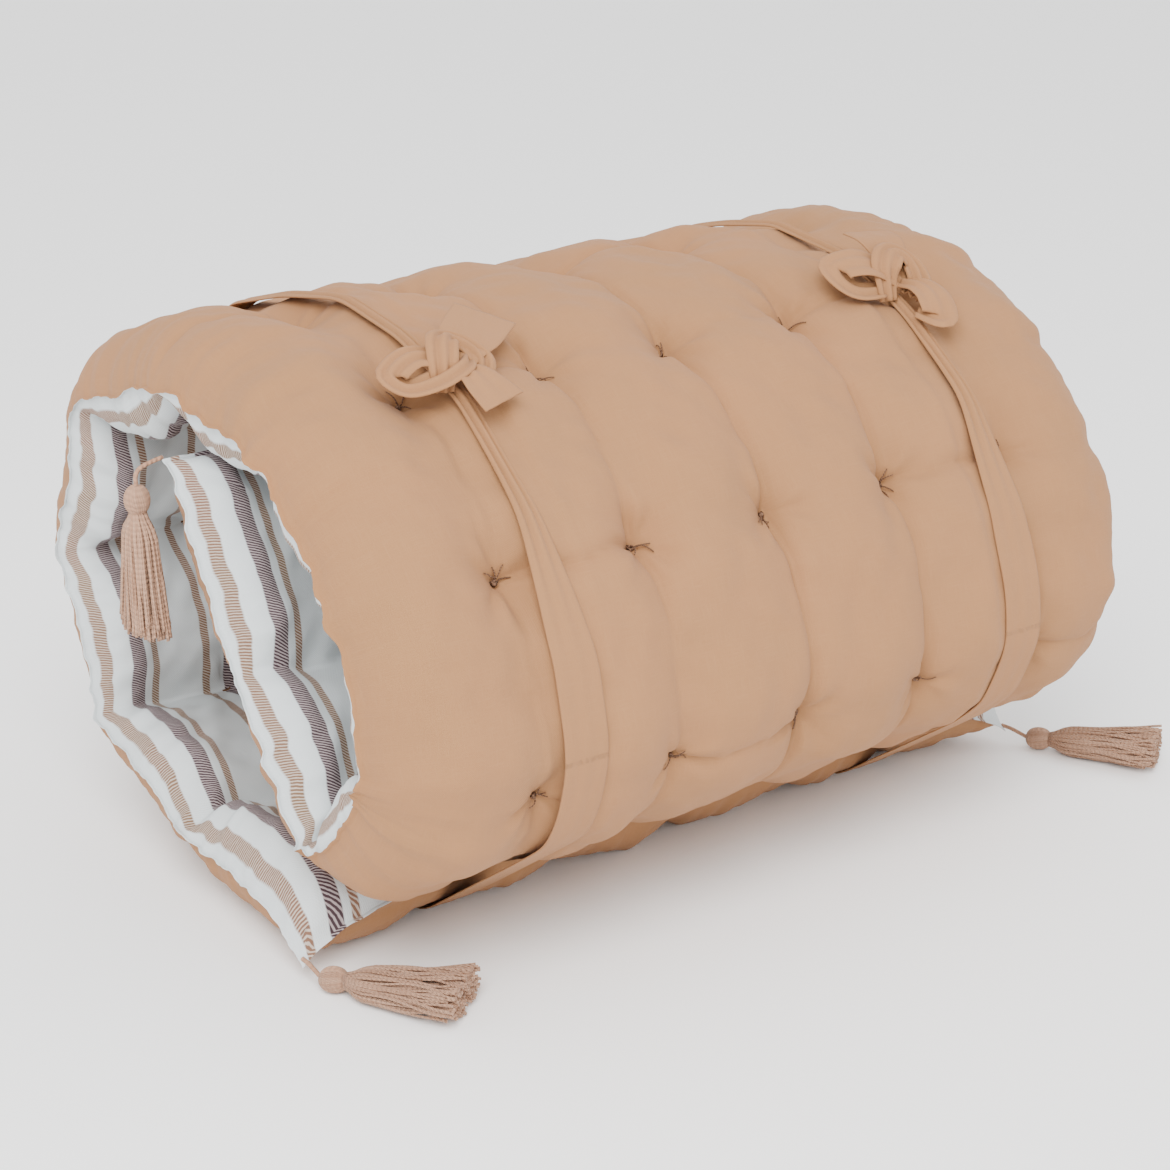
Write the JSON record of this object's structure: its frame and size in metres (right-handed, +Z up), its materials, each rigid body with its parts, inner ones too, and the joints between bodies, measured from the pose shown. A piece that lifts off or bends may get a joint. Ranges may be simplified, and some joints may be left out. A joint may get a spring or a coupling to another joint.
{
  "type": "futon mattress",
  "caption": "Thin tufted futon mattress with a striped top and a plain base, rolled up, held by two knotted cloth ties, with a yarn tassel at each corner.",
  "frame": {"origin": "middle of the flat underside of the tail span, on the floor", "axes": "+X along the roll from one open end to the other, +Y towards the back of the roll, where the pad climbs from the floor, +Z up"},
  "size_m": [0.8197, 0.5332, 0.4463],
  "materials": {
    "striped_cotton": "white cotton with woven twill stripes in brown and dark mauve",
    "tan_cotton": "plain tan cotton and linen weave, matt",
    "cotton_filling": "loose cotton batting",
    "tufting_thread": "waxed brown tufting thread",
    "tassel_yarn": "twisted tan cotton yarn"
  },
  "bodies": {
    "span_01": {"striped_cover_01": "striped_cotton", "base_cover_01": "tan_cotton", "batting_01": "cotton_filling", "tuft_row_01": "tufting_thread", "tie_left": "tan_cotton", "tie_knot_left": "tan_cotton", "tie_right": "tan_cotton", "tie_knot_right": "tan_cotton"},
    "span_02": {"striped_cover_02": "striped_cotton", "base_cover_02": "tan_cotton", "batting_02": "cotton_filling", "tuft_row_02": "tufting_thread"},
    "span_03": {"striped_cover_03": "striped_cotton", "base_cover_03": "tan_cotton", "batting_03": "cotton_filling", "tuft_row_03": "tufting_thread"},
    "span_04": {"striped_cover_04": "striped_cotton", "base_cover_04": "tan_cotton", "batting_04": "cotton_filling", "tuft_row_04": "tufting_thread"},
    "span_05": {"striped_cover_05": "striped_cotton", "base_cover_05": "tan_cotton", "batting_05": "cotton_filling", "tuft_row_05": "tufting_thread"},
    "span_06": {"striped_cover_06": "striped_cotton", "base_cover_06": "tan_cotton", "batting_06": "cotton_filling", "tuft_row_06": "tufting_thread"},
    "span_07": {"striped_cover_07": "striped_cotton", "base_cover_07": "tan_cotton", "batting_07": "cotton_filling", "tuft_row_07": "tufting_thread"},
    "span_08": {"striped_cover_08": "striped_cotton", "base_cover_08": "tan_cotton", "batting_08": "cotton_filling", "tuft_row_08": "tufting_thread"},
    "span_09": {"striped_cover_09": "striped_cotton", "base_cover_09": "tan_cotton", "batting_09": "cotton_filling", "tuft_row_09": "tufting_thread"},
    "span_10": {"striped_cover_10": "striped_cotton", "base_cover_10": "tan_cotton", "batting_10": "cotton_filling", "tuft_row_10": "tufting_thread"},
    "span_11": {"striped_cover_11": "striped_cotton", "base_cover_11": "tan_cotton", "batting_11": "cotton_filling"},
    "tail_tassel_left": {"tassel_cord_tail_left": "tassel_yarn", "tassel_head_tail_left": "tassel_yarn", "tassel_skirt_tail_left": "tassel_yarn"},
    "inner_tassel_cord_left": {"tassel_cord_inner_left": "tassel_yarn"},
    "inner_tassel_left": {"tassel_head_inner_left": "tassel_yarn", "tassel_skirt_inner_left": "tassel_yarn"},
    "tail_tassel_right": {"tassel_cord_tail_right": "tassel_yarn", "tassel_head_tail_right": "tassel_yarn", "tassel_skirt_tail_right": "tassel_yarn"},
    "inner_tassel_cord_right": {"tassel_cord_inner_right": "tassel_yarn"},
    "inner_tassel_right": {"tassel_head_inner_right": "tassel_yarn", "tassel_skirt_inner_right": "tassel_yarn"}
  },
  "joints": [
    {"name": "fold_01", "type": "hinge", "parent": "span_01", "child": "span_02", "pos_m": [0, 0.0875, 0.04], "axis": [-1, 0, 0], "range_deg": [0, 23]},
    {"name": "fold_02", "type": "hinge", "parent": "span_02", "child": "span_03", "pos_m": [0, 0.22282, 0.08925], "axis": [-1, 0, 0], "range_deg": [0, 47], "deforming": ["tie_left", "tie_right", "tie_knot_left", "tie_knot_right"]},
    {"name": "fold_03", "type": "hinge", "parent": "span_03", "child": "span_04", "pos_m": [0, 0.27908, 0.2218], "axis": [-1, 0, 0], "range_deg": [0, 47.1]},
    {"name": "fold_04", "type": "hinge", "parent": "span_04", "child": "span_05", "pos_m": [0, 0.22983, 0.35712], "axis": [-1, 0, 0], "range_deg": [0, 54.5]},
    {"name": "fold_05", "type": "hinge", "parent": "span_05", "child": "span_06", "pos_m": [0, 0.09451, 0.40637], "axis": [-1, 0, 0], "range_deg": [0, 30.4]},
    {"name": "fold_06", "type": "hinge", "parent": "span_06", "child": "span_07", "pos_m": [0, -0.04841, 0.38882], "axis": [-1, 0, 0], "range_deg": [0, 35.6]},
    {"name": "fold_07", "type": "hinge", "parent": "span_07", "child": "span_08", "pos_m": [0, -0.16032, 0.2982], "axis": [-1, 0, 0], "range_deg": [0, 35.6]},
    {"name": "fold_08", "type": "hinge", "parent": "span_08", "child": "span_09", "pos_m": [0, -0.2072, 0.16204], "axis": [-1, 0, 0], "range_deg": [0, 80.8]},
    {"name": "fold_09", "type": "hinge", "parent": "span_09", "child": "span_10", "pos_m": [0, -0.08782, 0.08152], "axis": [-1, 0, 0], "range_deg": [0, 93.4]},
    {"name": "fold_10", "type": "hinge", "parent": "span_10", "child": "span_11", "pos_m": [0, -0.00116, 0.19652], "axis": [-1, 0, 0], "range_deg": [0, 7.2]},
    {"name": "tail_tassel_left_swivel", "type": "hinge", "parent": "span_01", "child": "tail_tassel_left", "pos_m": [-0.35, -0.0875, 0.04], "axis": [0, 0, 1], "range_deg": [-150, 30]},
    {"name": "inner_tassel_left_hang", "type": "hinge", "parent": "span_11", "child": "inner_tassel_cord_left", "pos_m": [-0.35, 0.08893, 0.34069], "axis": [1, 0, 0], "range_deg": [0, 348]},
    {"name": "inner_tassel_left_swing", "type": "hinge", "parent": "inner_tassel_cord_left", "child": "inner_tassel_left", "pos_m": [-0.366, 0.08893, 0.32869], "axis": [0, 1, 0], "range_deg": [0, 75]},
    {"name": "tail_tassel_right_swivel", "type": "hinge", "parent": "span_01", "child": "tail_tassel_right", "pos_m": [0.35, -0.0875, 0.04], "axis": [0, 0, 1], "range_deg": [-95, 120]},
    {"name": "inner_tassel_right_hang", "type": "hinge", "parent": "span_11", "child": "inner_tassel_cord_right", "pos_m": [0.35, 0.08893, 0.34069], "axis": [1, 0, 0], "range_deg": [0, 348]},
    {"name": "inner_tassel_right_swing", "type": "hinge", "parent": "inner_tassel_cord_right", "child": "inner_tassel_right", "pos_m": [0.366, 0.08893, 0.32869], "axis": [0, -1, 0], "range_deg": [0, 75]}
  ],
  "couplings": [
    {"joint": "fold_01", "follows": "fold_02", "ratio": 0.42553},
    {"joint": "fold_03", "follows": "fold_02", "ratio": 0.91489},
    {"joint": "fold_04", "follows": "fold_02", "ratio": 1.0638},
    {"joint": "fold_05", "follows": "fold_02", "ratio": 0.57447},
    {"joint": "fold_06", "follows": "fold_02", "ratio": 0.68085},
    {"joint": "fold_07", "follows": "fold_02", "ratio": 0.68085},
    {"joint": "fold_08", "follows": "fold_02", "ratio": 1.5957},
    {"joint": "fold_09", "follows": "fold_02", "ratio": 1.8511},
    {"joint": "fold_10", "follows": "fold_02", "ratio": 0.10638},
    {"joint": "inner_tassel_left_hang", "follows": "fold_02", "ratio": 7.0213},
    {"joint": "inner_tassel_right_hang", "follows": "fold_02", "ratio": 7.0213}
  ]
}
